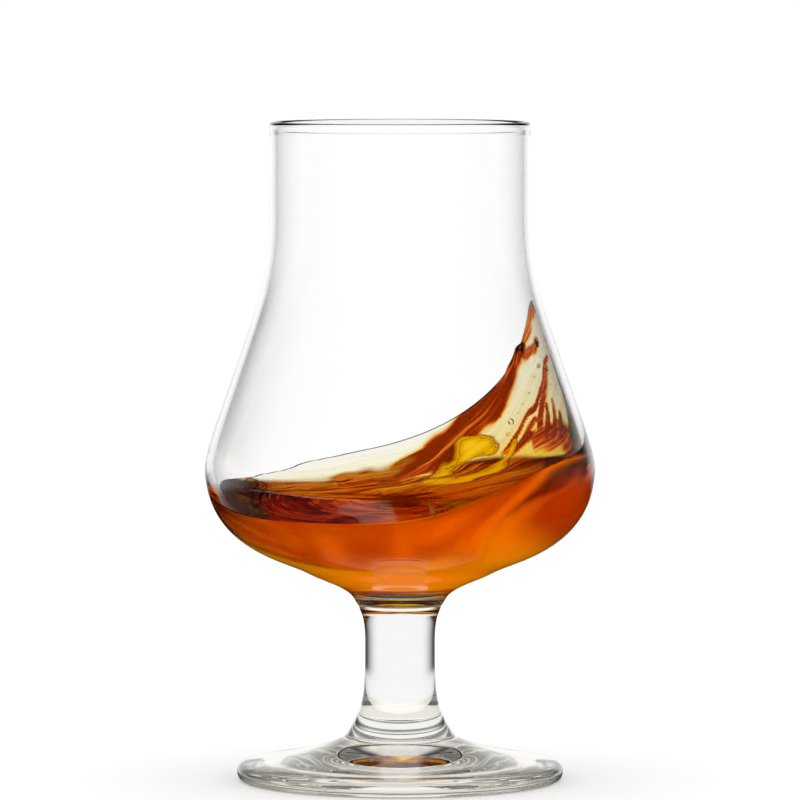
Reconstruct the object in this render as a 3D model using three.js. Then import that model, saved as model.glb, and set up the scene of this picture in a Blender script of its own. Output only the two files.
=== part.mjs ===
// Stemmed tasting glass with a measure of spirit being swirled round its bowl.
// Millimetres, +Z up, origin on the table at the centre of the foot.
// A blown bowl, a drawn stem and a pressed foot are fused at two flat seams, and the drink is
// a body of its own, which goes round inside the bowl.
import * as THREE from 'three';
import { ParametricGeometry } from 'three/addons/geometries/ParametricGeometry.js';

// Bowl, outside: a straight neck, a cone, a rounded belly and a hollowed underside
const HEIGHT = 115;
const NECK_RADIUS = 22.7;
const NECK_CORNER_HEIGHT = 89.2;
const NECK_BLEND = 9.6;
const BELLY_RADIUS = 34.05;
const BELLY_CORNER_HEIGHT = 56.7;
const BELLY_BLEND = 6.8;
const BELLY_HEIGHT = 54.8;
const BELLY_ROUND = 13.9;
const UNDERSIDE_RADIUS = 17.3;
const UNDERSIDE_HEIGHT = 36.8;
const UNDERSIDE_ANGLE = 28.5;
const UNDERSIDE_ROUND = 3.4;
const UNDERSIDE_FILLET = 5;

// Bowl, inside
const RIM_WALL = 1.05;
const LIP_HANDLE = 4 / 3;
const BELLY_WALL = 1.35;
const FLOOR_HEIGHT = 34.2;
const FLOOR_REACH = 14;
const CAVITY_ROUND = 12.3;

// Stem: waisted, with a flare at each fused seam
const BOWL_SEAM_HEIGHT = 30.55;
const BOWL_SEAM_RADIUS = 7.3;
const BOWL_SEAM_FLARE = 3.3;
const BOWL_SEAM_LEAN = 0.35;
const WAIST_RADIUS = 6.13;
const WAIST_HEIGHT = 21;
const WAIST_RISE = 7.8;
const WAIST_FALL = 6;
const FOOT_SEAM_HEIGHT = 7.4;
const FOOT_SEAM_RADIUS = 9.7;
const FOOT_SEAM_FLARE = 4.7;
const FOOT_SEAM_LEAN = 0.7;

// Foot: a shallow cone with a round edge, on a flat ring round a hollow underside
const FOOT_RADIUS = 28.5;
const FOOT_SWEEP = 2.9;
const FOOT_SWEEP_FALL = 1.45;
const FOOT_CONE_ANGLE = 10;
const FOOT_CONE_LENGTH = 10;
const EDGE_HEIGHT = 3;
const EDGE_INSET = 1.7;
const EDGE_WIDEST_HEIGHT = 1.5;
const REST_OUTER_RADIUS = 27.2;
const REST_INNER_RADIUS = 23.5;
const HOLLOW_HEIGHT = 1.3;
const HOLLOW_REACH = 16.5;

// Drink: how far it stands off the glass, and its level away from the wave
const DRINK_CLEARANCE = 0.3;
const STILL_HEIGHT = 47.5;
const MIDDLE_HEIGHT = 47.2;

// Wave: headings are in degrees from +X, anticlockwise seen from above
const SWELL_RISE = 10.3;
const SWELL_HEADING = 5;
const SWELL_WIDTH = 72;
const BACKWASH_RISE = 3;
const BACKWASH_HEADING = 178;
const BACKWASH_WIDTH = 28;
const CREST_RISE = 26;
const CREST_HEADING = 6;
const CREST_FRONT_WIDTH = 8;
const CREST_TAIL_WIDTH = 30;
const WET_RISE = 5;
const WET_HEADING = 105;
const WET_WIDTH = 45;
const FILM_THICKNESS = 1.3;
const ROUND_TOPPED = 2;
const FLAT_TOPPED = 4;

// Rope: the thick rolled edge that the climbing film draws up behind the crest
const ROPE_THICKNESS = 2.2;
const ROPE_HALF_HEIGHT = 2.2;
const ROPE_DROP = 2.4;
const ROPE_HEADING = 52;
const ROPE_WIDTH = 46;
const LOWEST_ROPE_SHARE = 0.35;

// Fold: the mass that has fallen back from the crest and lies heaped at the foot of its sheet
const FOLD_THICKNESS = 1.6;
const FOLD_HEIGHT = 59;
const FOLD_HALF_HEIGHT = 2.2;
const FOLD_HEADING = 14;
const FOLD_WIDTH = 22;

// Facets
const SIDES = 48;
const FACET_LENGTH = 3;
const LEAST_STEPS = 4;
const DRINK_SIDES = 72;
const MIDDLE_ROWS = 6;
const ROWS_BELOW_ROPE = 9;
const ROWS_ABOVE_ROPE = 5;
const ROPE_ROW_BUNCHING = 1.4;
const WALL_ROWS = 10;
const WALL_ROW_BUNCHING = 1.3;
const FILM_FOOT_SHARE = 0.06;
const HALVINGS = 40;

const glass = new THREE.MeshStandardMaterial({
  name: 'clear_glass',
  color: 0xeef2f1,
  roughness: 0.04,
  metalness: 0,
  transparent: true,
  opacity: 0.35,
});
const spirit = new THREE.MeshStandardMaterial({
  name: 'amber_spirit',
  color: 0xc8540a,
  roughness: 0.05,
  metalness: 0,
  transparent: true,
  opacity: 0.85,
});

const radians = THREE.MathUtils.degToRad;

// The points of an outline: its straight runs whole, its curves in steps of about a facet's length.
function outlinePoints(path) {
  const points = [path.curves[0].getPoint(0)];
  for (const curve of path.curves) {
    const steps = curve.isLineCurve ? 1 : Math.max(LEAST_STEPS, Math.ceil(curve.getLength() / FACET_LENGTH));
    points.push(...curve.getSpacedPoints(steps).slice(1));
  }
  return points;
}

// Spins an outline of (radius, height) points, drawn from the axis and back to it, about +Z.
function turned(points) {
  const geometry = new THREE.LatheGeometry(points, SIDES);
  geometry.rotateX(Math.PI / 2);
  return geometry;
}

// Neck and cone above the belly, as corners rounded off by a blend: from the belly up to the given height.
function shoulder(path, neckRadius, bellyRadius, topHeight) {
  const neckCorner = new THREE.Vector2(neckRadius, NECK_CORNER_HEIGHT);
  const bellyCorner = new THREE.Vector2(bellyRadius, BELLY_CORNER_HEIGHT);
  const alongCone = neckCorner.clone().sub(bellyCorner).normalize();
  const coneFoot = bellyCorner.clone().addScaledVector(alongCone, BELLY_BLEND);
  const coneTop = neckCorner.clone().addScaledVector(alongCone, -NECK_BLEND);
  path.quadraticCurveTo(bellyCorner.x, bellyCorner.y, coneFoot.x, coneFoot.y);
  path.lineTo(coneTop.x, coneTop.y);
  path.quadraticCurveTo(neckCorner.x, neckCorner.y, neckRadius, NECK_CORNER_HEIGHT + NECK_BLEND);
  path.lineTo(neckRadius, topHeight);
}

// The hollow of the bowl from the middle of its floor up to the rim, drawn in by a gap all round.
function cavity(gap) {
  const bellyRadius = BELLY_RADIUS - BELLY_WALL - gap;
  const floor = FLOOR_HEIGHT + gap;
  const path = new THREE.Path();
  path.moveTo(0, floor);
  path.bezierCurveTo(FLOOR_REACH, floor, bellyRadius, BELLY_HEIGHT - CAVITY_ROUND, bellyRadius, BELLY_HEIGHT);
  shoulder(path, NECK_RADIUS - RIM_WALL - gap, bellyRadius, HEIGHT - RIM_WALL / 2);
  return path;
}

function bowl() {
  const slope = new THREE.Vector2(Math.cos(radians(UNDERSIDE_ANGLE)), Math.sin(radians(UNDERSIDE_ANGLE)));
  const underside = new THREE.Vector2(UNDERSIDE_RADIUS, UNDERSIDE_HEIGHT);
  const fillet = underside.clone().addScaledVector(slope, -UNDERSIDE_FILLET);
  const rise = underside.clone().addScaledVector(slope, UNDERSIDE_ROUND);
  const path = new THREE.Path();
  path.moveTo(0, BOWL_SEAM_HEIGHT);
  path.lineTo(BOWL_SEAM_RADIUS, BOWL_SEAM_HEIGHT);
  path.bezierCurveTo(
    BOWL_SEAM_RADIUS + BOWL_SEAM_LEAN * BOWL_SEAM_FLARE, BOWL_SEAM_HEIGHT + BOWL_SEAM_FLARE,
    fillet.x, fillet.y, underside.x, underside.y);
  path.bezierCurveTo(rise.x, rise.y, BELLY_RADIUS, BELLY_HEIGHT - BELLY_ROUND, BELLY_RADIUS, BELLY_HEIGHT);
  shoulder(path, NECK_RADIUS, BELLY_RADIUS, HEIGHT - RIM_WALL / 2);
  const lipHeight = HEIGHT - RIM_WALL / 2;
  const lipCrown = lipHeight + LIP_HANDLE * (RIM_WALL / 2);
  const innerRim = NECK_RADIUS - RIM_WALL;
  path.bezierCurveTo(NECK_RADIUS, lipCrown, innerRim, lipCrown, innerRim, lipHeight);
  const inside = outlinePoints(cavity(0)).reverse().slice(1);
  return turned([...outlinePoints(path), ...inside]);
}

function stem() {
  const path = new THREE.Path();
  path.moveTo(0, FOOT_SEAM_HEIGHT);
  path.lineTo(FOOT_SEAM_RADIUS, FOOT_SEAM_HEIGHT);
  path.bezierCurveTo(
    FOOT_SEAM_RADIUS - FOOT_SEAM_LEAN * FOOT_SEAM_FLARE, FOOT_SEAM_HEIGHT + FOOT_SEAM_FLARE,
    WAIST_RADIUS, WAIST_HEIGHT - WAIST_FALL, WAIST_RADIUS, WAIST_HEIGHT);
  path.bezierCurveTo(
    WAIST_RADIUS, WAIST_HEIGHT + WAIST_RISE,
    BOWL_SEAM_RADIUS - BOWL_SEAM_LEAN * BOWL_SEAM_FLARE, BOWL_SEAM_HEIGHT - BOWL_SEAM_FLARE,
    BOWL_SEAM_RADIUS, BOWL_SEAM_HEIGHT);
  path.lineTo(0, BOWL_SEAM_HEIGHT);
  return turned(outlinePoints(path));
}

function foot() {
  const coneAngle = radians(FOOT_CONE_ANGLE);
  const edgeRadius = FOOT_RADIUS - EDGE_INSET;
  const coneRadius = edgeRadius - FOOT_CONE_LENGTH * Math.cos(coneAngle);
  const coneHeight = EDGE_HEIGHT + FOOT_CONE_LENGTH * Math.sin(coneAngle);
  const edgeCorner = EDGE_HEIGHT - EDGE_INSET * Math.tan(coneAngle);
  const path = new THREE.Path();
  path.moveTo(0, HOLLOW_HEIGHT);
  path.quadraticCurveTo(HOLLOW_REACH, HOLLOW_HEIGHT, REST_INNER_RADIUS, 0);
  path.lineTo(REST_OUTER_RADIUS, 0);
  path.quadraticCurveTo(FOOT_RADIUS, 0, FOOT_RADIUS, EDGE_WIDEST_HEIGHT);
  path.quadraticCurveTo(FOOT_RADIUS, edgeCorner, edgeRadius, EDGE_HEIGHT);
  path.bezierCurveTo(
    coneRadius, coneHeight,
    FOOT_SEAM_RADIUS + FOOT_SWEEP, FOOT_SEAM_HEIGHT - FOOT_SWEEP_FALL,
    FOOT_SEAM_RADIUS, FOOT_SEAM_HEIGHT);
  path.lineTo(0, FOOT_SEAM_HEIGHT);
  return turned(outlinePoints(path));
}

// Degrees from one heading to another, the short way round.
function turnBetween(from, to) {
  return THREE.MathUtils.euclideanModulo(to - from + 180, 360) - 180;
}

// A rise that is full at its centre and dies away to either side; a higher power gives a flatter top.
function bump(offset, width, power) {
  return Math.exp(-(Math.abs(offset / width) ** power));
}

// Height of the thick body of the drink at the wall: a swell under the crest and a backwash across from it.
function bodyHeight(heading) {
  return STILL_HEIGHT
    + SWELL_RISE * bump(turnBetween(SWELL_HEADING, heading), SWELL_WIDTH, FLAT_TOPPED)
    + BACKWASH_RISE * bump(turnBetween(BACKWASH_HEADING, heading), BACKWASH_WIDTH, ROUND_TOPPED);
}

// How far the crest's thin sheet climbs above the body: steep ahead of the crest, drawn out behind it.
function crestRise(heading) {
  const behind = turnBetween(CREST_HEADING, heading);
  if (behind < 0) {
    return CREST_RISE * bump(behind, CREST_FRONT_WIDTH, ROUND_TOPPED);
  }
  return CREST_RISE / Math.cosh(behind / CREST_TAIL_WIDTH);
}

// The wet film that the crest has left on the wall it passed.
function wetRise(heading) {
  return WET_RISE * bump(turnBetween(WET_HEADING, heading), WET_WIDTH, ROUND_TOPPED);
}

// The drink's skin on the glass, and where along it a given height lies.
const wall = cavity(DRINK_CLEARANCE);
function wallShareAt(height) {
  let low = 0;
  let high = 1;
  for (let step = 0; step < HALVINGS; step += 1) {
    const middle = (low + high) / 2;
    if (wall.getPointAt(middle).y < height) {
      low = middle;
    } else {
      high = middle;
    }
  }
  return low;
}

// How far up the climbing film its rope lies, as a share of the film's height.
function ropeShare(heading) {
  const crest = crestRise(heading);
  return Math.max((crest - ROPE_DROP) / (crest + wetRise(heading)), LOWEST_ROPE_SHARE);
}

// How far up the film a row lies. The rows follow the rope and crowd together at it.
function filmShare(heading, row) {
  const rope = ropeShare(heading);
  if (row < ROWS_BELOW_ROPE) {
    return rope - (rope - FILM_FOOT_SHARE) * (1 - row / ROWS_BELOW_ROPE) ** ROPE_ROW_BUNCHING;
  }
  return rope + (1 - rope) * ((row - ROWS_BELOW_ROPE) / ROWS_ABOVE_ROPE) ** ROPE_ROW_BUNCHING;
}

// A point of the free surface: depth is its distance in from the wall, at one heading.
function surfacePoint(heading, depth) {
  const body = bodyHeight(heading);
  const film = crestRise(heading) + wetRise(heading);
  const filmHeight = film * Math.exp(-depth / FILM_THICKNESS);
  const bellyRadius = BELLY_RADIUS - BELLY_WALL - DRINK_CLEARANCE;
  const outward = 1 - Math.min(depth / bellyRadius, 1);
  const height = MIDDLE_HEIGHT + (body - MIDDLE_HEIGHT) * outward ** 2 + filmHeight;
  const rope = ROPE_THICKNESS
    * bump(turnBetween(ROPE_HEADING, heading), ROPE_WIDTH, FLAT_TOPPED)
    * bump(filmHeight - ropeShare(heading) * film, ROPE_HALF_HEIGHT, ROUND_TOPPED)
    * THREE.MathUtils.smoothstep(film - filmHeight, 0, ROPE_DROP);
  const fold = FOLD_THICKNESS
    * bump(turnBetween(FOLD_HEADING, heading), FOLD_WIDTH, FLAT_TOPPED)
    * bump(height - FOLD_HEIGHT, FOLD_HALF_HEIGHT, ROUND_TOPPED);
  const wallRadius = wall.getPointAt(wallShareAt(height)).x;
  const radius = wallRadius * outward - Math.max(rope, fold);
  return { radius: Math.max(radius, 0), height };
}

// The whole drink, row by row: out from the middle, up the film to its edge, then down the wall to the floor.
function drink() {
  const filmRows = ROWS_BELOW_ROPE + ROWS_ABOVE_ROPE;
  const rows = MIDDLE_ROWS + filmRows + WALL_ROWS;
  const bellyRadius = BELLY_RADIUS - BELLY_WALL - DRINK_CLEARANCE;
  const filmDepth = -FILM_THICKNESS * Math.log(FILM_FOOT_SHARE);
  const skin = (u, v, target) => {
    const heading = CREST_HEADING + 360 * (1 - u);
    const row = v * rows;
    let point;
    if (row <= MIDDLE_ROWS) {
      const share = row / MIDDLE_ROWS;
      point = surfacePoint(heading, bellyRadius + (filmDepth - bellyRadius) * share);
    } else if (row <= MIDDLE_ROWS + filmRows) {
      point = surfacePoint(heading, -FILM_THICKNESS * Math.log(filmShare(heading, row - MIDDLE_ROWS)));
    } else {
      const share = (row - MIDDLE_ROWS - filmRows) / WALL_ROWS;
      const edge = bodyHeight(heading) + crestRise(heading) + wetRise(heading);
      const onWall = wall.getPointAt(wallShareAt(edge) * (1 - share ** WALL_ROW_BUNCHING));
      point = { radius: onWall.x, height: onWall.y };
    }
    const angle = radians(heading);
    target.set(point.radius * Math.cos(angle), point.radius * Math.sin(angle), point.height);
  };
  return new ParametricGeometry(skin, DRINK_SIDES, rows);
}

function piece(name, geometry, material) {
  const mesh = new THREE.Mesh(geometry, material);
  mesh.name = name;
  return mesh;
}

const tastingGlass = new THREE.Group();
tastingGlass.add(piece('foot', foot(), glass));
tastingGlass.add(piece('stem', stem(), glass));
tastingGlass.add(piece('bowl', bowl(), glass));
tastingGlass.add(piece('drink', drink(), spirit));

export default tastingGlass;
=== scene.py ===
"""Tasting glass with a measure of spirit being swirled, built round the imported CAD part.

Metres, +Z up, origin on the table at the centre of the foot. The camera looks along +Y.
"""

import math

import bpy
import numpy as np
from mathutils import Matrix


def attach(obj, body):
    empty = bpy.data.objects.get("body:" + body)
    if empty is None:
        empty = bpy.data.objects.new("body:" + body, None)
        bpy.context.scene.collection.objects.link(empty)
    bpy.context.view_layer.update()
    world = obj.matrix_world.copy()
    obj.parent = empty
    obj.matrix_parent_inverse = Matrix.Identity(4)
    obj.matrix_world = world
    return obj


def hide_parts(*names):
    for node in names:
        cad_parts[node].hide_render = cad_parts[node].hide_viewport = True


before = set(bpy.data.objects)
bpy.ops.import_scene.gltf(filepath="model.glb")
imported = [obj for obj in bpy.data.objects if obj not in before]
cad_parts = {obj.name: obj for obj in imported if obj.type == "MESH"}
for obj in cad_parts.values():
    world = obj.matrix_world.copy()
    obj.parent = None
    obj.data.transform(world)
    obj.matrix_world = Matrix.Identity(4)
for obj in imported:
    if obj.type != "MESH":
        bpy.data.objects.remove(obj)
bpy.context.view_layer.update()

# Foot
# Pressed soda-lime glass: a shallow cone with a thick round edge, hollow below, standing on a ring.
# Its top was hot when the stem was set on it, so its skin is a little wavy. Thick glass shows its tint.


class Sock:
    """The output of a node, so that what is worked out from it reads as maths."""

    def __init__(self, tree, socket):
        self.tree = tree
        self.socket = socket

    def node(self, kind, inputs, output=0, **settings):
        """Adds any node, fed by sockets or plain values, and gives one of its outputs."""
        made = self.tree.nodes.new(kind)
        for name, value in settings.items():
            setattr(made, name, value)
        for key, value in inputs.items():
            if isinstance(value, Sock):
                self.tree.links.new(value.socket, made.inputs[key])
            else:
                made.inputs[key].default_value = value
        return Sock(self.tree, made.outputs[output])

    def maths(self, operation, *values):
        return self.node("ShaderNodeMath", dict(enumerate(values)), operation=operation)

    def __add__(self, other):
        return self.maths("ADD", self, other)

    def __sub__(self, other):
        return self.maths("SUBTRACT", self, other)

    def __rsub__(self, other):
        return self.maths("SUBTRACT", other, self)

    def __mul__(self, other):
        return self.maths("MULTIPLY", self, other)

    def __truediv__(self, other):
        return self.maths("DIVIDE", self, other)

    def __lt__(self, other):
        return self.maths("LESS_THAN", self, other)

    def __gt__(self, other):
        return self.maths("GREATER_THAN", self, other)

    __radd__ = __add__
    __rmul__ = __mul__


def section_of(node):
    """Outline of a turned CAD piece as (radius, height) rows, from its lowest point on the axis."""
    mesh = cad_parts[node].data
    points = np.array([vertex.co for vertex in mesh.vertices])
    keys = [tuple(key) for key in np.round(points[:, [0, 2]], 7)]
    flat = (np.abs(points[:, 1]) < 1e-7) & (points[:, 0] > -1e-7)
    neighbours = {}
    for edge in mesh.edges:
        a, b = edge.vertices
        if flat[a] and flat[b] and keys[a] != keys[b]:
            neighbours.setdefault(keys[a], set()).add(keys[b])
            neighbours.setdefault(keys[b], set()).add(keys[a])
    here = min((key for key in neighbours if key[0] == 0), key=lambda key: key[1])
    outline = [here]
    while True:
        onward = [key for key in neighbours[here] if key not in outline]
        if not onward:
            return np.array(outline)
        here = onward[0]
        outline.append(here)


def smoothed(run, step, longest):
    """Draws a spline through the run's points, and a straight line over its long facets."""
    filled = [run[0]]
    for start, end in zip(run[:-1], run[1:]):
        length = np.linalg.norm(end - start)
        parts = math.ceil(2 * length / longest) if length > longest else 1
        filled.extend(start + (end - start) * share for share in np.arange(1, parts + 1) / parts)
    points = np.array(filled)
    mirror = np.array([-1, 1])
    before = points[1] * mirror if points[0, 0] == 0 else 2 * points[0] - points[1]
    after = points[-2] * mirror if points[-1, 0] == 0 else 2 * points[-1] - points[-2]
    chords = np.diff(np.vstack([before, points, after]), axis=0)
    lengths = np.linalg.norm(chords, axis=1, keepdims=True)
    slopes = chords / lengths
    tangents = slopes[:-1] * lengths[1:] + slopes[1:] * lengths[:-1]
    tangents /= lengths[1:] + lengths[:-1]
    drawn = [points[:1]]
    for i, length in enumerate(lengths[1:-1, 0]):
        t = np.linspace(0, 1, max(2, math.ceil(length / step)) + 1)[1:, None]
        drawn.append(
            (2 * t**3 - 3 * t**2 + 1) * points[i]
            + (3 * t**2 - 2 * t**3) * points[i + 1]
            + length * ((t**3 - 2 * t**2 + t) * tangents[i] + (t**3 - t**2) * tangents[i + 1])
        )
    return np.vstack(drawn).clip(run.min(axis=0), run.max(axis=0))


WHOLE = 0.99
MERGED_WITHIN = 1e-6


def turning():
    """Geometry nodes that spin the points of a section about Z, and mark its fused faces."""
    tree = bpy.data.node_groups.new("Turning", "GeometryNodeTree")
    for name, kind in (
        ("Section", "NodeSocketObject"),
        ("Sides", "NodeSocketInt"),
        ("Glass", "NodeSocketMaterial"),
        ("Fused", "NodeSocketMaterial"),
    ):
        tree.interface.new_socket(name, in_out="INPUT", socket_type=kind)
    tree.interface.new_socket("Piece", in_out="OUTPUT", socket_type="NodeSocketGeometry")
    given = tree.nodes.new("NodeGroupInput")
    section, sides, glass, fused = (Sock(tree, given.outputs[i]) for i in range(4))
    rows = section.node("GeometryNodeObjectInfo", {"Object": section}, "Geometry")
    count = rows.node("GeometryNodeAttributeDomainSize", {"Geometry": rows}, "Point Count")
    grid = rows.node("GeometryNodeMeshGrid", {"Vertices X": count, "Vertices Y": sides + 1}, "Mesh")
    index = grid.node("GeometryNodeInputIndex", {})
    row = index.maths("FLOOR", (index + 0.5) / (sides + 1))
    angle = (index - row * (sides + 1)) * math.tau / sides

    def sampled(field, data_type):
        inputs = {"Geometry": rows, "Value": field, "Index": row}
        return rows.node("GeometryNodeSampleIndex", inputs, data_type=data_type)

    place = sampled(rows.node("GeometryNodeInputPosition", {}), "FLOAT_VECTOR")
    radius = place.node("ShaderNodeSeparateXYZ", {"Vector": place}, "X")
    height = place.node("ShaderNodeSeparateXYZ", {"Vector": place}, "Z")
    seam = sampled(rows.node("GeometryNodeInputNamedAttribute", {"Name": "seam"}), "FLOAT")

    def captured(piece, field, domain):
        made = piece.node("GeometryNodeCaptureAttribute", {"Geometry": piece}, domain=domain)
        made.socket.node.capture_items.new("FLOAT", "seam")
        tree.links.new(field.socket, made.socket.node.inputs["seam"])
        return made, Sock(tree, made.socket.node.outputs["seam"])

    piece, seam = captured(grid, seam, "POINT")
    x, y = radius * angle.maths("COSINE", angle), radius * angle.maths("SINE", angle)
    spot = angle.node("ShaderNodeCombineXYZ", {"X": x, "Y": y, "Z": height})
    piece = piece.node("GeometryNodeSetPosition", {"Geometry": piece, "Position": spot})
    piece, seam = captured(piece, seam, "FACE")
    piece = piece.node("GeometryNodeMergeByDistance", {"Geometry": piece, "Distance": MERGED_WITHIN})
    piece = piece.node("GeometryNodeFlipFaces", {"Mesh": piece})
    piece = piece.node("GeometryNodeRealizeInstances", {"Geometry": piece})
    piece = piece.node("GeometryNodeSetMaterial", {"Geometry": piece, "Material": glass})
    piece = piece.node(
        "GeometryNodeSetMaterial", {"Geometry": piece, "Selection": seam > WHOLE, "Material": fused}
    )
    result = tree.nodes.new("NodeGroupOutput")
    tree.links.new(piece.socket, result.inputs[0])
    return tree


def plain_mesh(obj):
    """Turns an object with geometry nodes into one with the mesh that they make."""
    shown = obj.evaluated_get(bpy.context.evaluated_depsgraph_get())
    obj.data = bpy.data.meshes.new_from_object(shown)
    obj.modifiers.clear()


def set_inputs(modifier, **values):
    """Sets the inputs of a geometry nodes modifier by their names."""
    for item in modifier.node_group.interface.items_tree:
        if item.in_out == "INPUT" and item.name in values:
            modifier[item.identifier] = values[item.name]


def added(name, mesh):
    obj = bpy.data.objects.new(name, mesh)
    bpy.context.scene.collection.objects.link(obj)
    return obj


turning_tree = turning()
LONGEST_FACET = 0.0033
SPLINE_STEP = 0.0007
SIDES = 192


def turned(node, glass, fused):
    """Makes a turned piece of glass, finer than its CAD node, and gives the outline that it follows."""
    outline = section_of(node)
    first = 1 if outline[0, 1] == outline[1, 1] else 0
    last = 1 if outline[-1, 1] == outline[-2, 1] else 0
    run = smoothed(outline[first : len(outline) - last], SPLINE_STEP, LONGEST_FACET)
    rows = np.vstack([outline[:1], run[:1]] * first + [run] + [run[-1:], outline[-1:]] * last)
    seam = np.array([1.0] * 2 * first + [0.0] * len(run) + [1.0] * 2 * last)
    mesh = bpy.data.meshes.new(node + "_section")
    mesh.from_pydata([(radius, 0, height) for radius, height in rows], [], [])
    mesh.attributes.new("seam", "FLOAT", "POINT").data.foreach_set("value", seam)
    guide = added(node + "_section", mesh)
    obj = added(node + "_glass", bpy.data.meshes.new(node + "_glass"))
    modifier = obj.modifiers.new("Turning", "NODES")
    modifier.node_group = turning_tree
    set_inputs(modifier, Section=guide, Sides=SIDES, Glass=glass, Fused=fused)
    plain_mesh(obj)
    bpy.data.objects.remove(guide)
    obj.data.shade_smooth()
    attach(obj, "glass")
    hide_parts(node)
    return run


def new_material(name):
    material = bpy.data.materials.new(name)
    material.use_nodes = True
    material.node_tree.nodes.clear()
    out = material.node_tree.nodes.new("ShaderNodeOutputMaterial")
    return material, Sock(material.node_tree, out.inputs[0])


def clear_glass(name, waves, depth, tint=(1, 1, 1)):
    """Clear glass whose skin waves a little: so many waves a metre, so many metres deep."""
    material, start = new_material(name)
    place = start.node("ShaderNodeTexCoord", {}, "Object")
    noise = place.node("ShaderNodeTexNoise", {"Vector": place, "Scale": waves, "Detail": 1.0})
    wavy = noise.node("ShaderNodeBump", {"Height": noise, "Strength": 1.0, "Distance": depth})
    surface = wavy.node(
        "ShaderNodeBsdfPrincipled",
        {
            "Base Color": (*tint, 1),
            "Roughness": 0.0,
            "IOR": 1.5,
            "Transmission Weight": 1.0,
            "Normal": wavy,
        },
    )
    start.tree.links.new(surface.socket, start.socket)
    return material


fused, start = new_material("Fused seam")
start.tree.links.new(start.node("ShaderNodeBsdfTransparent", {}).socket, start.socket)

pressed = clear_glass("Pressed glass", waves=90, depth=0.00012, tint=(0.97, 0.93, 0.84))
turned("foot", pressed, fused)

# Stem
# The same glass, drawn down from the bowl while hot: solid and waisted. Its flared ends are fused flat
# to the bowl above and the foot below.

turned("stem", clear_glass("Drawn glass", waves=70, depth=0.00003), fused)

# Bowl
# Soda-lime glass blown thin, with a straight neck, a cone and a round belly. Its rim is melted round in
# a flame, and its thick base is fused to the stem.

bowl_run = turned("bowl", clear_glass("Blown glass", waves=40, depth=0.00001), fused)

# Drink
# Amber spirit caught in a swirl: a flat pool, a swell, and a thin sheet thrown up the wall on the
# right, with a rolled edge behind it. It wets the glass, so its skin is sunk a hair into the wall.
# Heights and depths are in millimetres and headings in degrees from +X.

STILL_HEIGHT = 47.5
MIDDLE_HEIGHT = 47.2
SWELL = (10.3, 5, 72, 4)
BACKWASH = (3, 178, 28, 2)
CREST_RISE = 26
CREST_HEADING = 6
CREST_FRONT = 3.5
CREST_TAIL = 30
SKIRT_SHARE = 0.4
SKIRT_FRONT = 12
SKIRT_POWER = 1.4
WET = (5, 105, 45, 2)
FILM = 1.3
FILM_TAPER = (0.75, -10, 35, 4)
FILM_FOOT = 0.06
ROPE_DROP = 2.4
LEAST_ROPE_SHARE = 0.35
BARE_TINT = 0.08
FOOT_TINT = 0.14
CREST_TINT = (0.1, 25, 45, 4)
WANDER = ((0.4, 0.28), (0.2, 0.61))
EDGE_ROUND = 1.2
NEAR_WALL = 5
SWAY_X = 0.9
SWAY_Y = 0.6
SWAY_ACROSS = 0.9
SWAY_SLANT = 0.5
SWAY_ALONG = 0.8
GLINT_TOP = 56.5
GLINT_FADE = 2
# Strokes on the film: (heading, height) points, half widths, relief and strength of the tint
STROKES = {
    "rope": (
        [(112, 48.6), (97, 49.8), (90, 50.9), (80, 53.2), (74, 56), (66, 59.7), (57, 63.4), (53, 65.4)]
        + [(47, 67.8), (42, 70.6), (38, 73), (34, 75)],
        [1.2, 1.6, 2.0, 2.4, 2.8, 2.8, 2.5, 2.6, 1.6, 1.7, 1.9, 1.3],
        1.9,
        1.15,
    ),
    "hook": (
        [(36, 75.2), (28, 77.6), (20, 79.8), (12, 82), (5, 83.4)],
        [1.5, 1.3, 1.2, 1.1, 0.8],
        0.3,
        0.62,
    ),
    "blob": ([(33, 73.6), (26, 74.8), (20, 75.6)], [1.0, 0.9, 1.0], 0.5, 0.85),
    "streak": (
        [(11, 74), (20, 71), (27.5, 67.4), (34.7, 63.6), (42, 60.7), (47, 57.8), (50, 55.5)],
        [0.3, 0.4, 0.5, 0.5, 0.5, 0.5, 0.6],
        0.2,
        1.0,
    ),
    "ridge": (
        [(16, 71.2), (24, 67.5), (28.6, 64.7), (31.5, 61.9), (31, 59.3)],
        [0.5, 0.7, 0.8, 1.0, 1.6],
        0.3,
        0.9,
    ),
    "fold": ([(34, 62.2), (37.6, 59.9), (45, 56)], [0.4, 0.6, 0.7], 0.5, 0.8),
    "spike a": ([(25, 65.3), (27, 60)], [0.3, 1.2], 0.2, 1.1),
    "spike b": ([(19.6, 65.5), (21.5, 60)], [0.3, 1.2], 0.2, 1.1),
    "spike c": ([(15.5, 63.4), (16.5, 59.5)], [0.3, 1.3], 0.2, 1.1),
    "spike d": ([(5, 64.2), (9, 59.5)], [0.3, 1.5], 0.2, 1.1),
    "mass": ([(33, 58.2), (24, 59.2), (12, 59.2), (0, 58.8)], [1.9, 2.5, 2.7, 2.4], 0.5, 0.88),
    "fan": ([(37, 58.4), (46, 55.6)], [0.9, 1.2], 0.5, 1.0),
}
# Painted highlights in the pool, golden where light would come up through it, seen from above: (x, y)
# points, half widths and strength
PAINTED_GLINTS = {
    "upper": ([(8, 26.5), (12.5, 27.3), (15.5, 26.2)], [1.6, 2.2, 1.8], 1),
    "lower": (
        [(4.5, 24), (9, 18.5), (13, 16.5), (18, 19), (19.5, 20.8)],
        [1.5, 2.6, 2.4, 1.8, 1.2],
        1,
    ),
    "edge": ([(-24, -18), (-29, -6), (-30, 5), (-26, 15)], [2, 3, 3, 2.5], 0.5),
}
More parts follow.
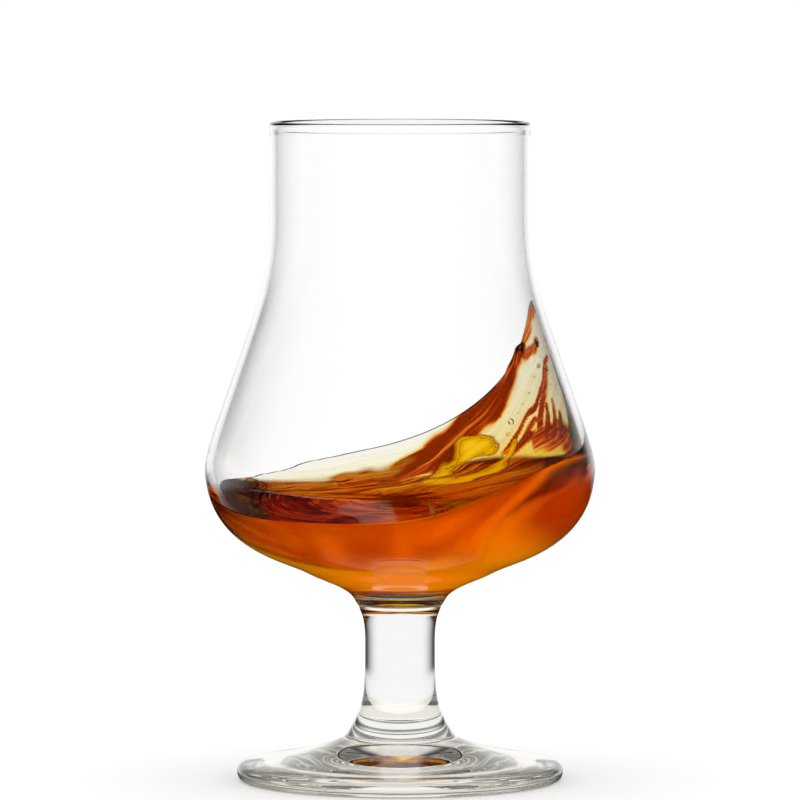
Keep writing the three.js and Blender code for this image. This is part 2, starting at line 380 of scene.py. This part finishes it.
# Painted shade in the pool, dark patches: (x, y) points and half widths
PAINTED_SHADES = {
    "streak": ([(9.4, 27.2), (14, 24.3), (18.3, 21.8)], [0.7, 1.1, 0.7]),
    "swirl": ([(0.5, -7), (1.5, 0), (0.5, 7)], [4, 5.5, 4.5]),
    "front": ([(-16, 2), (-4, 5), (4, 10)], [1.2, 1.8, 1.4]),
}
# The line that the streaks follow round the glass: (heading, height) points
STREAMLINE = [(-180, 48.5), (-60, 49), (-20, 57), (0, 68), (6, 83), (20, 79), (34, 75), (47, 68)]
STREAMLINE += [(57, 63.2), (66, 59.7), (74, 56), (80, 53), (90, 50.7), (112, 48.6), (180, 48.5)]
ARC = math.radians(30)
DRINK_SIDES = 360
MIDDLE_ROWS = 60
LOW_ROWS = 48
HIGH_ROWS = 26
WALL_ROWS = 50
LOW_BUNCHING = 1.2
HIGH_BUNCHING = 0.9
WALL_BUNCHING = 1.3
SUNK = 0.1
CALM_FROM = 0.65
CALM_OVER = 0.15
FLOW_SINK = 0.4
FLOW_GAP = 3
MIDDLE_LANE = -5


def turn_from(heading, centre):
    return (heading - centre + 180) % 360 - 180


def bump(offset, width, power):
    return np.exp(-(np.abs(offset / width) ** power))


def rise(heading, form):
    """How high a form stands at a heading: (height, heading of its middle, width, power)."""
    height, centre, width, power = form
    return height * bump(turn_from(heading, centre), width, power)


def body_height(heading):
    return STILL_HEIGHT + rise(heading, SWELL) + rise(heading, BACKWASH)


def crest_rise(heading):
    behind = turn_from(heading, CREST_HEADING)
    skirt = bump(behind, SKIRT_FRONT, SKIRT_POWER) * SKIRT_SHARE
    front = bump(behind, CREST_FRONT, 2) * (1 - SKIRT_SHARE) + skirt
    return CREST_RISE * np.where(behind < 0, front, 1 / np.cosh(behind / CREST_TAIL))


def film_depth(heading):
    return FILM * (1 - rise(heading, FILM_TAPER))


def rope_share(heading):
    crest = crest_rise(heading)
    return np.maximum((crest - ROPE_DROP) / (crest + rise(heading, WET)), LEAST_ROPE_SHARE)


hollow = bowl_run[len(bowl_run) - np.argmax(bowl_run[::-1, 1]) - 1 :][::-1] * 1000
along = np.gradient(hollow, axis=0)
inward = np.column_stack([-along[:, 1], along[:, 0]])
inward /= np.linalg.norm(inward, axis=1, keepdims=True)
wall = hollow - inward * SUNK
wall[0, 0] = 0
wall_length = np.concatenate([[0], np.cumsum(np.linalg.norm(np.diff(wall, axis=0), axis=1))])
belly = wall[:, 0].max()


def wall_radius(height):
    return np.interp(height, wall[:, 1], wall[:, 0])


def away(x, y, path, widths):
    """Distance of each place from a stroke through the path's points, in widths of the stroke."""
    least = np.full_like(x, np.inf)
    for (a, b), (wide_a, wide_b) in zip(zip(path[:-1], path[1:]), zip(widths[:-1], widths[1:])):
        run, climb = b[0] - a[0], b[1] - a[1]
        share = (((x - a[0]) * run + (y - a[1]) * climb) / (run**2 + climb**2)).clip(0, 1)
        gap = np.hypot(x - a[0] - share * run, y - a[1] - share * climb)
        least = np.minimum(least, gap / (wide_a + (wide_b - wide_a) * share))
    return least


def surface(heading, depth):
    """Radius, height, tint, and painted highlight and shade of the free surface, so deep in from the
    wall.
    """
    body = body_height(heading)
    film = crest_rise(heading) + rise(heading, WET)
    climb = film * np.exp(-depth / film_depth(heading))
    outward = (1 - depth / belly).clip(0, 1)
    height = MIDDLE_HEIGHT + (body - MIDDLE_HEIGHT) * outward**2 + climb
    edge = ((film - climb) / EDGE_ROUND).clip(0, 1)
    relief = np.zeros_like(height)
    tint = np.zeros_like(height)
    waved = height + sum(size * np.sin(heading * rate) for size, rate in WANDER)
    for path, widths, thickness, strength in STROKES.values():
        path = [(ARC * place, level) for place, level in path]
        gap = away(ARC * turn_from(heading, 0), waved, path, widths)
        relief = np.maximum(relief, thickness * bump(gap, 1, 2))
        tint = np.maximum(tint, strength * bump(gap, 1, 8))
    near = bump(depth, NEAR_WALL, 4)
    radius = wall_radius(height) * outward - relief * edge * edge * (3 - 2 * edge) * near
    radius = radius.clip(0)
    x, y = radius * np.cos(np.radians(heading)), radius * np.sin(np.radians(heading))
    x, y = (
        x + SWAY_X * np.sin(SWAY_ACROSS * y + SWAY_SLANT * x),
        y + SWAY_Y * np.sin(SWAY_ALONG * x),
    )
    # Painted highlights of light coming up through the pool, less the painted shade of its dark patches
    painted_glint_and_shade = np.zeros_like(height)
    for path, widths, strength in PAINTED_GLINTS.values():
        painted_glint_and_shade = np.maximum(painted_glint_and_shade, strength * bump(away(x, y, path, widths), 1, 2))
    # The painted shade patches darken the pool's colour
    for path, widths in PAINTED_SHADES.values():
        painted_glint_and_shade -= bump(away(x, y, path, widths), 1, 2)
    bare = BARE_TINT + FOOT_TINT * (1 - climb / film) ** 2 + rise(heading, CREST_TINT)
    tint = bare + (1 - bare) * tint * near
    painted_glint_and_shade = painted_glint_and_shade * (1 - ((height - GLINT_TOP) / GLINT_FADE).clip(0, 1))
    return radius, height, tint, painted_glint_and_shade


headings = CREST_HEADING + np.arange(DRINK_SIDES) * 360 / DRINK_SIDES
share = rope_share(headings)
scale = film_depth(headings)
foot_depth = -scale * math.log(FILM_FOOT)
depths = [belly + (foot_depth - belly) * row / MIDDLE_ROWS for row in range(1, MIDDLE_ROWS)]
for row in range(LOW_ROWS):
    to_go = (1 - row / LOW_ROWS) ** LOW_BUNCHING
    depths.append(-scale * np.log(share - (share - FILM_FOOT) * to_go))
for row in range(HIGH_ROWS + 1):
    done = (row / HIGH_ROWS) ** HIGH_BUNCHING
    depths.append(-scale * np.log(share + (1 - share) * done))
rings = [surface(headings, depth) for depth in depths]
edge_length = np.interp(rings[-1][1], wall[:, 1], wall_length)
for row in range(1, WALL_ROWS):
    length = edge_length * (1 - (row / WALL_ROWS) ** WALL_BUNCHING)
    skin = [np.interp(length, wall_length, wall[:, axis]) for axis in (0, 1)]
    rings.append((*skin, np.zeros(DRINK_SIDES), np.zeros(DRINK_SIDES)))
    depths.append(np.zeros(DRINK_SIDES))

cos, sin = np.cos(np.radians(headings)), np.sin(np.radians(headings))
streamline = np.interp(turn_from(headings, 0), *zip(*STREAMLINE))
vertices = [np.array([[0, 0, MIDDLE_HEIGHT]])]
vertices += [np.column_stack([radius * cos, radius * sin, height]) for radius, height, *_ in rings]
vertices = np.vstack(vertices + [np.array([[0, 0, wall[0, 1]]])])
faces = []
base = 1 + (len(rings) - 1) * DRINK_SIDES
for side in range(DRINK_SIDES):
    onward = (side + 1) % DRINK_SIDES
    faces.append((0, 1 + side, 1 + onward))
    for near in range(1, base, DRINK_SIDES):
        far = near + DRINK_SIDES
        faces.append((near + side, far + side, far + onward, near + onward))
    faces.append((base + side, len(vertices) - 1, base + onward))
drink_mesh = bpy.data.meshes.new("drink_spirit")
drink_mesh.from_pydata([tuple(vertex) for vertex in vertices / 1000], [], faces)
drink_mesh.shade_smooth()
top = np.arange(len(vertices)) < 1 + len(depths[: -WALL_ROWS + 1]) * DRINK_SIDES
up = np.array([vertex.normal.z for vertex in drink_mesh.vertices])
painted = {
    "calm": ((up - CALM_FROM) / CALM_OVER).clip(0, 1) * top,
    "tint": np.concatenate([[0], *(ring[2] for ring in rings), [0]]) * top,
    "painted_glint_and_shade": np.concatenate([[0], *(ring[3] for ring in rings), [0]]),
}
for name, values in painted.items():
    drink_mesh.attributes.new(name, "FLOAT", "POINT").data.foreach_set("value", values)
lanes = [
    np.column_stack([cos, sin, (ring[1] - streamline - FLOW_SINK * depth) / FLOW_GAP])
    for ring, depth in zip(rings, depths)
]
lanes = np.vstack([[[0, 0, MIDDLE_LANE]], *lanes, [[0, 0, 0]]])
drink_mesh.attributes.new("flow", "FLOAT_VECTOR", "POINT").data.foreach_set("vector", lanes.ravel())

spirit, start = new_material("Amber spirit")
place = start.node("ShaderNodeTexCoord", {}, "Object")
ripples = place.node("ShaderNodeTexNoise", {"Vector": place, "Scale": 120.0, "Detail": 1.0})
wavy = ripples.node("ShaderNodeBump", {"Height": ripples, "Strength": 1.0, "Distance": 0.00005})


def ramp(value, *stops):
    """Colours laid out along a value from 0 to 1."""
    made = value.node("ShaderNodeValToRGB", {"Fac": value})
    points = made.socket.node.color_ramp.elements
    while len(points) < len(stops):
        points.new(0.5)
    for point, (position, colour) in zip(points, stops):
        point.position = position
        point.color = (*colour, 1)
    return made


flow = start.node("ShaderNodeAttribute", {}, "Vector", attribute_name="flow")


def drawn_out(stretch, detail, twist):
    """Noise pulled out along the flow, from 0 to 1."""
    along = flow.node("ShaderNodeVectorMath", {0: flow, 1: stretch}, operation="MULTIPLY")
    inputs = {"Vector": along, "Scale": 1.0, "Detail": detail, "Distortion": twist}
    noise = along.node("ShaderNodeTexNoise", inputs)
    return noise.node("ShaderNodeMapRange", {"Value": noise, "From Min": 0.33, "From Max": 0.67})


streaks = drawn_out((1.3, 1.3, 1.1), 3.0, 0.5)
lines = drawn_out((2.0, 2.0, 5.0), 4.0, 1.0)
thick = start.node("ShaderNodeAttribute", {}, "Fac", attribute_name="tint")
thick = thick * (0.5 + 0.4 * streaks + 0.5 * lines)
sheet = ramp(
    thick,
    (0.0, (1.0, 1.0, 1.0)),
    (0.15, (0.7, 0.64, 0.42)),
    (0.4, (0.65, 0.3, 0.03)),
    (0.6, (0.58, 0.035, 0.001)),
    (0.8, (0.16, 0.0015, 0.0)),
    (1.0, (0.05, 0.0005, 0.0)),
)
# Painted highlights (above 0) and painted shade (below 0) of the pool, marbled by the streaks into
# golden glints
painted_glint_and_shade = start.node("ShaderNodeAttribute", {}, "Fac", attribute_name="painted_glint_and_shade")
painted_glint_pattern = painted_glint_and_shade * (0.5 + 0.5 * streaks + 0.4 * lines)
painted_glint_colour = ramp(
    painted_glint_pattern,
    (0.2, (0.01, 0.0001, 0.0)),
    (0.3, (0.3, 0.036, 0.0)),
    (0.36, (0.43, 0.11, 0.0)),
    (0.44, (0.46, 0.12, 0.0)),
    (0.5, (0.1, 0.005, 0.0)),
    (0.56, (0.5, 0.15, 0.0)),
    (0.8, (0.62, 0.2, 0.0)),
    (1.0, (0.76, 0.3, 0.0005)),
)
# How much of the painted glint colour takes over
painted_glint_share = painted_glint_pattern.node("ShaderNodeMapRange", {"Value": painted_glint_pattern, "From Min": 0.1, "From Max": 0.22})


def with_painted_glints(colour):
    """The colour, with painted highlights put where light would come straight up through the pool."""
    factor, a, b, result = 0, 6, 7, 2
    sockets = {factor: painted_glint_share, a: colour, b: painted_glint_colour}
    return colour.node("ShaderNodeMix", sockets, result, data_type="RGBA")


calm = start.node("ShaderNodeAttribute", {}, "Fac", attribute_name="calm")
skin = wavy.node(
    "ShaderNodeBsdfPrincipled",
    {
        "Base Color": with_painted_glints(sheet),
        "Roughness": 0.16 * calm,
        "IOR": 1.36,
        "Specular Tint": (0, 0, 0, 1),
        "Transmission Weight": 1.0,
        "Normal": wavy,
    },
)
# The calm pool's colour is painted light and shade: dark maroon to orange streaks standing in for what
# its ripples would mirror and let through
pool_painted_light_and_shade = ramp(
    0.5 * streaks + 0.5 * lines + 0.5 * painted_glint_and_shade.maths("MINIMUM", painted_glint_and_shade, 0.0),
    (0.1, (0.02, 0.0002, 0.0)),
    (0.3, (0.05, 0.0006, 0.0)),
    (0.42, (0.16, 0.004, 0.0)),
    (0.5, (0.34, 0.02, 0.0005)),
    (0.58, (0.5, 0.06, 0.001)),
    (0.68, (0.2, 0.02, 0.0)),
    (0.85, (0.5, 0.14, 0.002)),
)
# The calm pool hardly bends light, so its look comes from the painted light and shade in its colour
pool = skin.node(
    "ShaderNodeBsdfPrincipled",
    {
        "Base Color": with_painted_glints(pool_painted_light_and_shade),
        "Roughness": 0.0,
        "IOR": 1.02,
        "Transmission Weight": 0.75,
    },
)
inside = start.node("ShaderNodeNewGeometry", {}, "Backfacing")
both = skin.node("ShaderNodeMixShader", {0: calm * (1 - inside), 1: skin, 2: pool})
start.tree.links.new(both.socket, start.socket)
absorbed = start.node(
    "ShaderNodeVolumeAbsorption", {"Color": (1.0, 0.9, 0.0, 1), "Density": 324.0}
)
start.tree.links.new(absorbed.socket, start.socket.node.inputs["Volume"])

drink = added("drink_spirit", drink_mesh)
drink_mesh.materials.append(spirit)

# Bubbles on the film: heading, height and radius
BUBBLES = [(24, 71.7, 0.45), (48, 60.9, 0.6), (49, 58.6, 0.4), (30, 69.6, 0.2), (36, 66.4, 0.25)]
BUBBLES += [(41, 64.3, 0.2), (18, 68.6, 0.2), (53, 61.8, 0.25), (44, 62.6, 0.18), (20, 73.4, 0.18)]


def bubbling():
    """Geometry nodes that put a round bubble at each spot on a piece."""
    tree = bpy.data.node_groups.new("Bubbles", "GeometryNodeTree")
    for name, kind in (
        ("Piece", "NodeSocketGeometry"),
        ("Spots", "NodeSocketObject"),
        ("Liquid", "NodeSocketMaterial"),
    ):
        tree.interface.new_socket(name, in_out="INPUT", socket_type=kind)
    tree.interface.new_socket("Piece", in_out="OUTPUT", socket_type="NodeSocketGeometry")
    given = tree.nodes.new("NodeGroupInput")
    piece, spots, liquid = (Sock(tree, given.outputs[i]) for i in range(3))
    spots = spots.node("GeometryNodeObjectInfo", {"Object": spots}, "Geometry")
    ball = spots.node("GeometryNodeMeshIcoSphere", {"Radius": 1.0, "Subdivisions": 4}, "Mesh")
    size = spots.node("GeometryNodeInputNamedAttribute", {"Name": "size"})
    balls = spots.node(
        "GeometryNodeInstanceOnPoints", {"Points": spots, "Instance": ball, "Scale": size}
    )
    balls = balls.node("GeometryNodeRealizeInstances", {"Geometry": balls})
    balls = balls.node("GeometryNodeSetMaterial", {"Geometry": balls, "Material": liquid})
    joined = tree.nodes.new("GeometryNodeJoinGeometry")
    tree.links.new(piece.socket, joined.inputs[0])
    tree.links.new(balls.socket, joined.inputs[0])
    result = tree.nodes.new("NodeGroupOutput")
    tree.links.new(joined.outputs[0], result.inputs[0])
    return tree


heading, height, size = np.array(BUBBLES).T
film = crest_rise(heading) + rise(heading, WET)
depth = -film_depth(heading) * np.log((height - body_height(heading)) / film)
radius = wall_radius(height) * (1 - depth / belly)
places = [radius * np.cos(np.radians(heading)), radius * np.sin(np.radians(heading)), height]
spots_mesh = bpy.data.meshes.new("bubble_spots")
spots_mesh.from_pydata([tuple(place) for place in np.column_stack(places) / 1000], [], [])
spots_mesh.attributes.new("size", "FLOAT", "POINT").data.foreach_set("value", size / 1000)
guide = added("bubble_spots", spots_mesh)
modifier = drink.modifiers.new("Bubbles", "NODES")
modifier.node_group = bubbling()
set_inputs(modifier, Spots=guide, Liquid=spirit)
plain_mesh(drink)
bpy.data.objects.remove(guide)
drink.data.shade_smooth()
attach(drink, "drink")
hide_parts("drink")

# Floor and light
# A white table in a white studio. Mirrored and refracted rays see it dark at the sides and on the
# camera's side, which draws the glass's lines, and they look through the table at the white behind.

FLOOR_RADIUS = 0.35
FLOOR_HEIGHT = -0.0001
FLOOR_SIDES = 96
angles = np.arange(FLOOR_SIDES) * math.tau / FLOOR_SIDES
floor_mesh = bpy.data.meshes.new("floor")
floor_mesh.from_pydata(
    [(FLOOR_RADIUS * math.cos(a), FLOOR_RADIUS * math.sin(a), FLOOR_HEIGHT) for a in angles],
    [],
    [tuple(range(FLOOR_SIDES))],
)
floor = added("floor", floor_mesh)
white, start = new_material("White table")
camera_ray, sharp_ray = (
    start.node("ShaderNodeLightPath", {}, name) for name in ("Is Camera Ray", "Is Glossy Ray")
)
paper = start.node("ShaderNodeBsdfDiffuse", {"Color": (0.9, 0.9, 0.9, 1)})
glow = paper.node("ShaderNodeEmission", {"Color": (1, 1, 1, 1), "Strength": camera_ray * 0.2})
lit = paper.node("ShaderNodeAddShader", {0: paper, 1: glow})
clear = paper.node("ShaderNodeBsdfTransparent", {})
table = paper.node("ShaderNodeMixShader", {0: sharp_ray, 1: lit, 2: clear})
start.tree.links.new(table.socket, start.socket)
floor_mesh.materials.append(white)

world = bpy.data.worlds.new("Studio")
world.use_nodes = True
world.node_tree.nodes.clear()
sky = world.node_tree.nodes.new("ShaderNodeOutputWorld")
start = Sock(world.node_tree, sky.inputs["Surface"])
towards = start.node("ShaderNodeTexCoord", {}, "Generated")
x, y, z = (towards.node("ShaderNodeSeparateXYZ", {"Vector": towards}, axis) for axis in "XYZ")


def graded(value, low, high, at_low, at_high):
    """Runs smoothly from one level to another while the value goes from low to high."""
    inputs = {"Value": value, "From Min": low, "From Max": high, "To Min": at_low, "To Max": at_high}
    return value.node("ShaderNodeMapRange", inputs, interpolation_type="SMOOTHSTEP")


aside = x.maths("ARCTAN2", x.maths("ABSOLUTE", x), y.maths("ABSOLUTE", y))
sharp_ray, mirrors, passes, seams = (
    start.node("ShaderNodeLightPath", {}, name)
    for name in ("Is Glossy Ray", "Glossy Depth", "Transmission Depth", "Transparent Depth")
)
# How often a ray was mirrored, how many faces it passed and whether it crossed a seam tell which glass
# it comes from. THROUGH makes good what the faces of both walls mirror away from the white behind.
THROUGH = 1.18
many = mirrors > 1.5
mirrored = mirrors > 0.5
seamed = seams > 1.5
first = passes < 0.5
few = passes < 3.5
some = passes < 4.5
flags = graded(z, -0.2, -0.1, 0.0, 0.95) * graded(aside, 0.45, 1.2, 0.0, 1.0)
flags = flags * graded(aside, 1.3, 1.5, 1.0, 0.0)
hood = graded(z, 0.03, 0.16, 0.0, 0.9) * graded(aside, 0.3, 0.6, 0.0, 1.0)
on_skin = graded(z, -0.15, -0.03, 0.0, 1.0) * (1 - hood) * graded(z, 0.2, 0.45, 1.0, 0.05)
on_skin = on_skin * graded(aside, 0.35, 0.65, 1.0, 0.1)
within = graded(z, -0.4, -0.2, 0.1, 1.0) * (1 - hood) * graded(z, 0.3, 0.7, 1.0, 0.7)
within = 1 - (1 - within) * (1 - many * graded(y, 0.6, 0.85, 0.0, 0.8))
behind = graded(y + 0.5 * z, -0.1, 0.4, 0.03, 1.0)
mirror = (first * on_skin + (1 - first) * within) * behind
mirror = mirror * (0.15 + 0.85 * few) * (1 - 0.35 * flags)
mirror = mirror * (1 - 0.3 * many * (1 - few))
mirror = 1 - (1 - mirror) * (1 - 0.3 * many * few * (1 - first))
mirror = mirror * (1 - seamed * many * graded(z, 0.15, 0.35, 0.0, 1.0))
seen = seamed * graded(z, -0.3, -0.1, 0.9, 0.0) * graded(y, -0.1, 0.2, 1.0, 0.0)
mirror = 1 - (1 - mirror) * (1 - seen * few * (1 - many))
dry = mirrored * mirror + (1 - mirrored) * (THROUGH - few * (THROUGH - 1 + flags))
wet = THROUGH * (1 - mirrored * (1 - graded(z, -0.6, -0.3, 0.03, 1.0) * behind))
level = 1 - sharp_ray * (1 - some * dry - (1 - some) * wet)
warm = sharp_ray * (1 - some) * graded(aside, 0.08, 0.55, 0.0, 1.0)
warm = warm * graded(aside, 1.2, 1.45, 1.0, 0.0) * graded(z, -0.24, -0.12, 0.0, 1.0)
card = ramp(warm, (0.0, (1, 1, 1)), (1.0, (0.45, 0.15, 0.06)))
light = level.node("ShaderNodeBackground", {"Color": card, "Strength": level})
start.tree.links.new(light.socket, start.socket)
bpy.context.scene.world = world

# Camera
# A long lens a little above the rim, looking slightly down. Its height and tilt follow from how open
# the ellipses of the rim and the foot are.

DISTANCE = 1.163
EYE_HEIGHT = 0.1401
PITCH = 3.624
LENS = 300.5
camera_data = bpy.data.cameras.new("Camera")
camera_data.lens = LENS
camera_data.sensor_width = 36
camera_data.clip_end = 20
camera = added("Camera", camera_data)
camera.location = (0, -DISTANCE, EYE_HEIGHT)
camera.rotation_euler = (math.radians(90 - PITCH), 0, 0)
bpy.context.scene.camera = camera

scene = bpy.context.scene
scene.view_settings.view_transform = "Standard"
scene.cycles.max_bounces = 32
scene.cycles.transmission_bounces = 32
scene.cycles.glossy_bounces = 16
scene.cycles.transparent_max_bounces = 16
scene.cycles.caustics_refractive = True
scene.cycles.caustics_reflective = False
